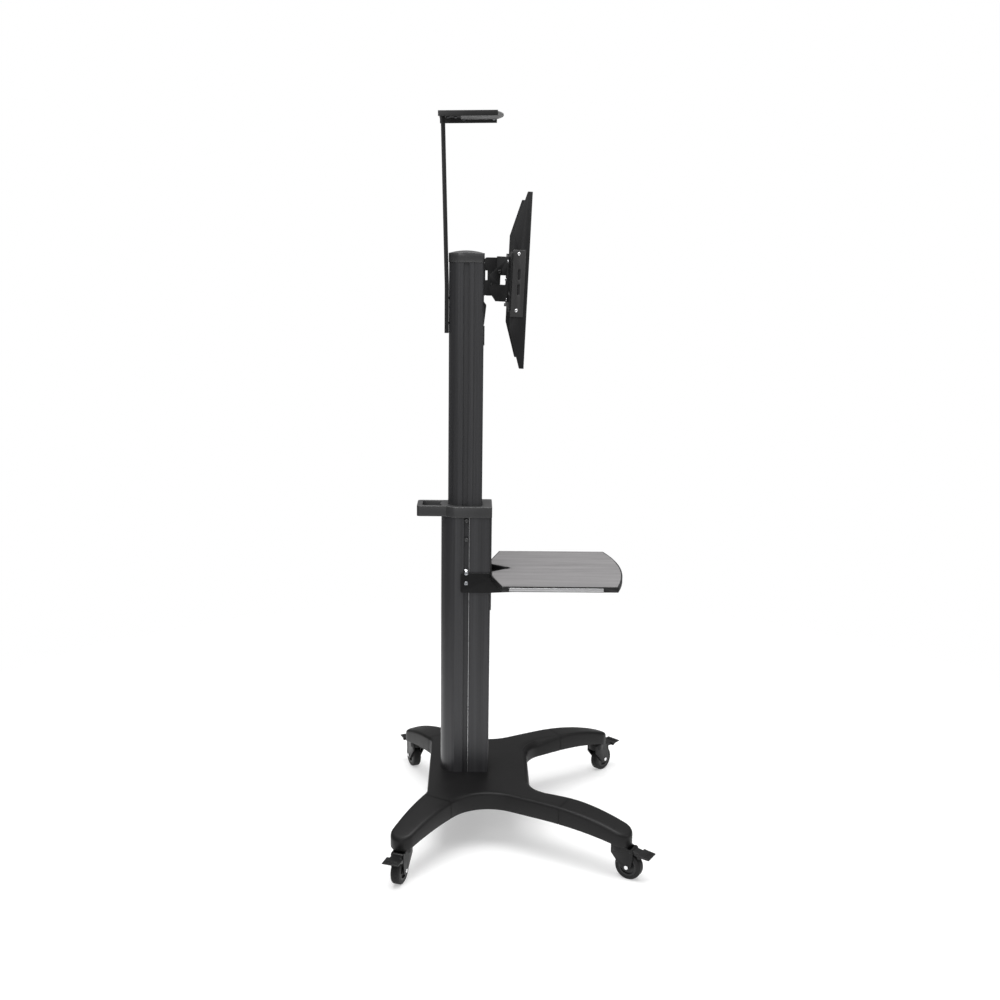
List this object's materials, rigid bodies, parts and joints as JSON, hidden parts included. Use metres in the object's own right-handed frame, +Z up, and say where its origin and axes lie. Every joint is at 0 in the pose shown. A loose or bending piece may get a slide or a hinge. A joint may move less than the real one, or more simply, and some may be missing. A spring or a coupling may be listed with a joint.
{
  "type": "mobile television stand",
  "caption": "Wheeled stand with a curved four-legged base, a telescopic column with a handle, a laptop shelf, a tilting screen mount and a camera tray.",
  "frame": {"origin": "middle of the footprint, on the floor", "axes": "+Z up, -Y towards the screen side, +X to the right seen from behind the handle with the screen ahead"},
  "size_m": [0.9119, 0.734, 2.0155],
  "materials": {
    "spider_steel": "black powder coat",
    "base_plastic": "fine grained charcoal moulding",
    "zinc_steel": "zinc plated",
    "fork_paint": "black semi-gloss",
    "bright_steel": "bright turned steel",
    "tyre_rubber": "black rubber",
    "wheel_plastic": "dark grey nylon",
    "pedal_plastic": "black nylon",
    "column_aluminium": "charcoal anodised",
    "trim_plastic": "black satin moulding",
    "glide_nylon": "black nylon",
    "black_screw": "black oxide",
    "bracket_paint": "black powder coat",
    "shelf_laminate": "grey laminate with a fine streak",
    "shelf_rim": "black edging",
    "rail_aluminium": "natural anodised",
    "arm_paint": "charcoal powder coat",
    "hook_paint": "charcoal powder coat",
    "bar_paint": "black powder coat",
    "board_paint": "grey powder coat"
  },
  "bodies": {
    "stand": {"base_frame": "spider_steel", "hub_cover": "base_plastic", "leg_cover_front_left": "base_plastic", "leg_cover_front_right": "base_plastic", "leg_cover_rear_left": "base_plastic", "leg_cover_rear_right": "base_plastic", "caster_stems": "zinc_steel", "lower_column": "column_aluminium", "column_bolts": "zinc_steel", "front_cover": "trim_plastic", "glide_bush": "glide_nylon", "collar_handle": "trim_plastic", "lock_screws": "black_screw"},
    "fork_body_front_left": {"fork_front_left": "fork_paint", "axle_front_left": "bright_steel"},
    "wheel_body_front_left": {"tyre_front_left": "tyre_rubber", "wheel_front_left": "wheel_plastic"},
    "pedal_body_front_left": {"pedal_front_left": "pedal_plastic"},
    "fork_body_front_right": {"fork_front_right": "fork_paint", "axle_front_right": "bright_steel"},
    "wheel_body_front_right": {"tyre_front_right": "tyre_rubber", "wheel_front_right": "wheel_plastic"},
    "pedal_body_front_right": {"pedal_front_right": "pedal_plastic"},
    "fork_body_rear_left": {"fork_rear_left": "fork_paint", "axle_rear_left": "bright_steel"},
    "wheel_body_rear_left": {"tyre_rear_left": "tyre_rubber", "wheel_rear_left": "wheel_plastic"},
    "pedal_body_rear_left": {"pedal_rear_left": "pedal_plastic"},
    "fork_body_rear_right": {"fork_rear_right": "fork_paint", "axle_rear_right": "bright_steel"},
    "wheel_body_rear_right": {"tyre_rear_right": "tyre_rubber", "wheel_rear_right": "wheel_plastic"},
    "pedal_body_rear_right": {"pedal_rear_right": "pedal_plastic"},
    "shelf": {"shelf_bracket_left": "bracket_paint", "shelf_bracket_right": "bracket_paint", "shelf_clamp_screws": "bright_steel", "shelf_board": "shelf_laminate", "shelf_edge": "shelf_rim", "shelf_rails": "rail_aluminium", "shelf_board_screws": "zinc_steel"},
    "upper": {"upper_column": "column_aluminium", "upper_glide": "glide_nylon", "top_cap": "trim_plastic", "cable_clips": "trim_plastic", "column_bracket": "bracket_paint", "bracket_screws": "bright_steel"},
    "head": {"tilt_head": "bracket_paint", "tilt_bolts": "bright_steel", "screen_plate": "bracket_paint"},
    "arm_left": {"screen_arm_left": "arm_paint", "hook_plate_left": "hook_paint", "arm_screws_left": "bright_steel"},
    "arm_right": {"screen_arm_right": "arm_paint", "hook_plate_right": "hook_paint", "arm_screws_right": "bright_steel"},
    "camera": {"camera_bar": "bar_paint", "camera_bar_screws": "zinc_steel", "camera_tray": "bar_paint", "camera_board": "board_paint", "camera_screws": "zinc_steel"}
  },
  "joints": [
    {"name": "swivel_front_left", "type": "hinge", "parent": "stand", "child": "fork_body_front_left", "pos_m": [-0.342, -0.275, 0.09], "axis": [0, 0, 1], "continuous": true},
    {"name": "roll_front_left", "type": "hinge", "parent": "fork_body_front_left", "child": "wheel_body_front_left", "pos_m": [-0.35684, -0.29874, 0.0375], "axis": [0.848, -0.5299, 0], "continuous": true},
    {"name": "brake_front_left", "type": "hinge", "parent": "fork_body_front_left", "child": "pedal_body_front_left", "pos_m": [-0.36214, -0.30723, 0.083], "axis": [0.848, -0.5299, 0], "range_deg": [-7, 12]},
    {"name": "swivel_front_right", "type": "hinge", "parent": "stand", "child": "fork_body_front_right", "pos_m": [0.342, -0.275, 0.09], "axis": [0, 0, 1], "continuous": true},
    {"name": "roll_front_right", "type": "hinge", "parent": "fork_body_front_right", "child": "wheel_body_front_right", "pos_m": [0.3618, -0.2948, 0.0375], "axis": [0.7071, 0.7071, 0], "continuous": true},
    {"name": "brake_front_right", "type": "hinge", "parent": "fork_body_front_right", "child": "pedal_body_front_right", "pos_m": [0.36887, -0.30187, 0.083], "axis": [0.7071, 0.7071, 0], "range_deg": [0, 18]},
    {"name": "swivel_rear_left", "type": "hinge", "parent": "stand", "child": "fork_body_rear_left", "pos_m": [-0.359, 0.308, 0.09], "axis": [0, 0, 1], "continuous": true},
    {"name": "roll_rear_left", "type": "hinge", "parent": "fork_body_rear_left", "child": "wheel_body_rear_left", "pos_m": [-0.38548, 0.31712, 0.0375], "axis": [-0.3256, -0.9455, 0], "continuous": true},
    {"name": "brake_rear_left", "type": "hinge", "parent": "fork_body_rear_left", "child": "pedal_body_rear_left", "pos_m": [-0.39493, 0.32037, 0.083], "axis": [-0.3256, -0.9455, 0], "range_deg": [0, 18]},
    {"name": "swivel_rear_right", "type": "hinge", "parent": "stand", "child": "fork_body_rear_right", "pos_m": [0.359, 0.308, 0.09], "axis": [0, 0, 1], "continuous": true},
    {"name": "roll_rear_right", "type": "hinge", "parent": "fork_body_rear_right", "child": "wheel_body_rear_right", "pos_m": [0.38477, 0.31894, 0.0375], "axis": [-0.3907, 0.9205, 0], "continuous": true},
    {"name": "brake_rear_right", "type": "hinge", "parent": "fork_body_rear_right", "child": "pedal_body_rear_right", "pos_m": [0.39398, 0.32285, 0.083], "axis": [-0.3907, 0.9205, 0], "range_deg": [0, 16]},
    {"name": "column_height", "type": "slide", "parent": "stand", "child": "upper", "axis": [0, 0, 1], "range_m": [-0.35, 0.1]},
    {"name": "shelf_height", "type": "slide", "parent": "stand", "child": "shelf", "axis": [0, 0, 1], "range_m": [-0.45, 0.08]},
    {"name": "camera_height", "type": "slide", "parent": "upper", "child": "camera", "axis": [0, 0, 1], "range_m": [-0.1, 0.03]},
    {"name": "screen_tilt", "type": "hinge", "parent": "upper", "child": "head", "pos_m": [0, 0.064, 1.602], "axis": [1, 0, 0], "range_deg": [-7, 10]},
    {"name": "arm_slide_left", "type": "slide", "parent": "head", "child": "arm_left", "axis": [1, 0, 0], "range_m": [0, 0.1]},
    {"name": "arm_slide_right", "type": "slide", "parent": "head", "child": "arm_right", "axis": [-1, 0, 0], "range_m": [0, 0.1]}
  ]
}
